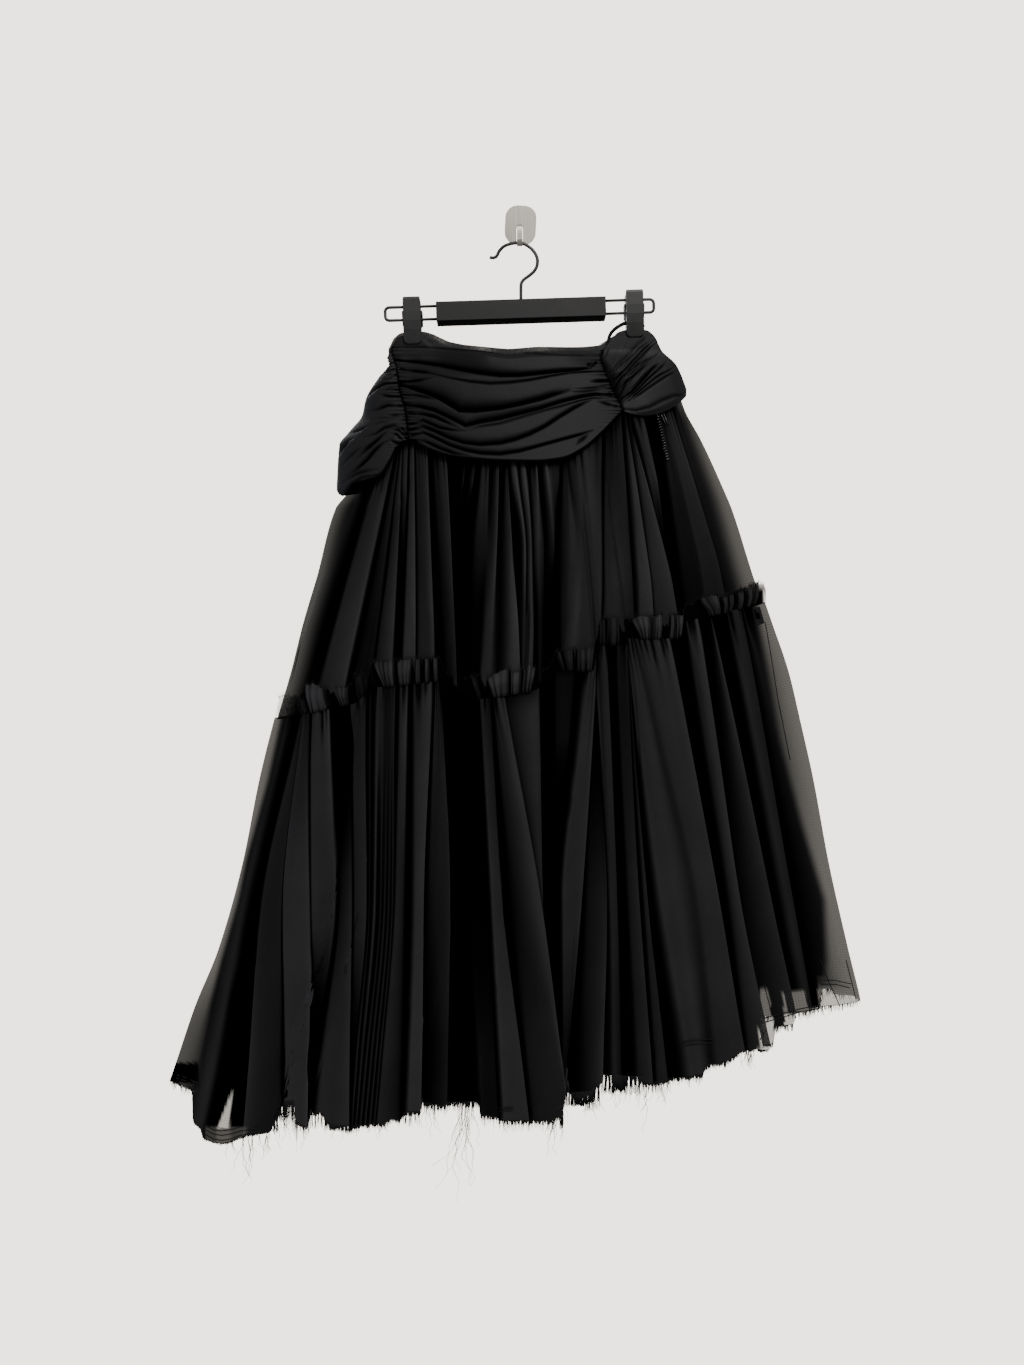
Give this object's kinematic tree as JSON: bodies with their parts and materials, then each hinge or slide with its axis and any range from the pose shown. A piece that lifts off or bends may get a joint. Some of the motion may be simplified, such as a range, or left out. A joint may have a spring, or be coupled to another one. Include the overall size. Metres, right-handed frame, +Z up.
{
  "type": "midi skirt on a clip hanger and wall hook",
  "caption": "Tiered midi skirt of sheer cloth with a ruched hip yoke, gathered header ruffle and slanting frayed hem, hung by two clips from a skirt hanger on a wall hook.",
  "frame": {"origin": "middle of the wall hook's back face, on the wall", "axes": "+Y points into the wall, +Z up, +X to the right as seen from the room"},
  "size_m": [0.7917, 0.1786, 1.0638],
  "materials": {
    "sheer_cloth": "matte chiffon",
    "yoke_cloth": "matte, denser",
    "black_plastic": "fine matte",
    "black_wire": "black coating, satin",
    "steel": "satin"
  },
  "bodies": {
    "root": {"yoke_front_centre": "yoke_cloth", "yoke_front_left": "yoke_cloth", "yoke_front_right": "yoke_cloth", "yoke_back": "yoke_cloth", "waist_facing": "sheer_cloth", "upper_tier_front": "sheer_cloth", "upper_tier_back": "sheer_cloth", "lower_tier_front": "sheer_cloth", "lower_tier_back": "sheer_cloth", "header_ruffle_front": "sheer_cloth", "header_ruffle_back": "sheer_cloth", "hem_fringe_front": "sheer_cloth", "hem_fringe_back": "sheer_cloth", "side_zip": "sheer_cloth", "seam_tab": "yoke_cloth", "ribbon_loop": "yoke_cloth", "wall_hook": "steel", "hanger_hook": "black_wire", "hanger_bar": "black_plastic", "wire_loop_left": "black_wire", "wire_loop_right": "black_wire", "clip_left_front": "black_plastic", "clip_left_back": "black_plastic", "clip_right_front": "black_plastic", "clip_right_back": "black_plastic"}
  },
  "joints": []
}
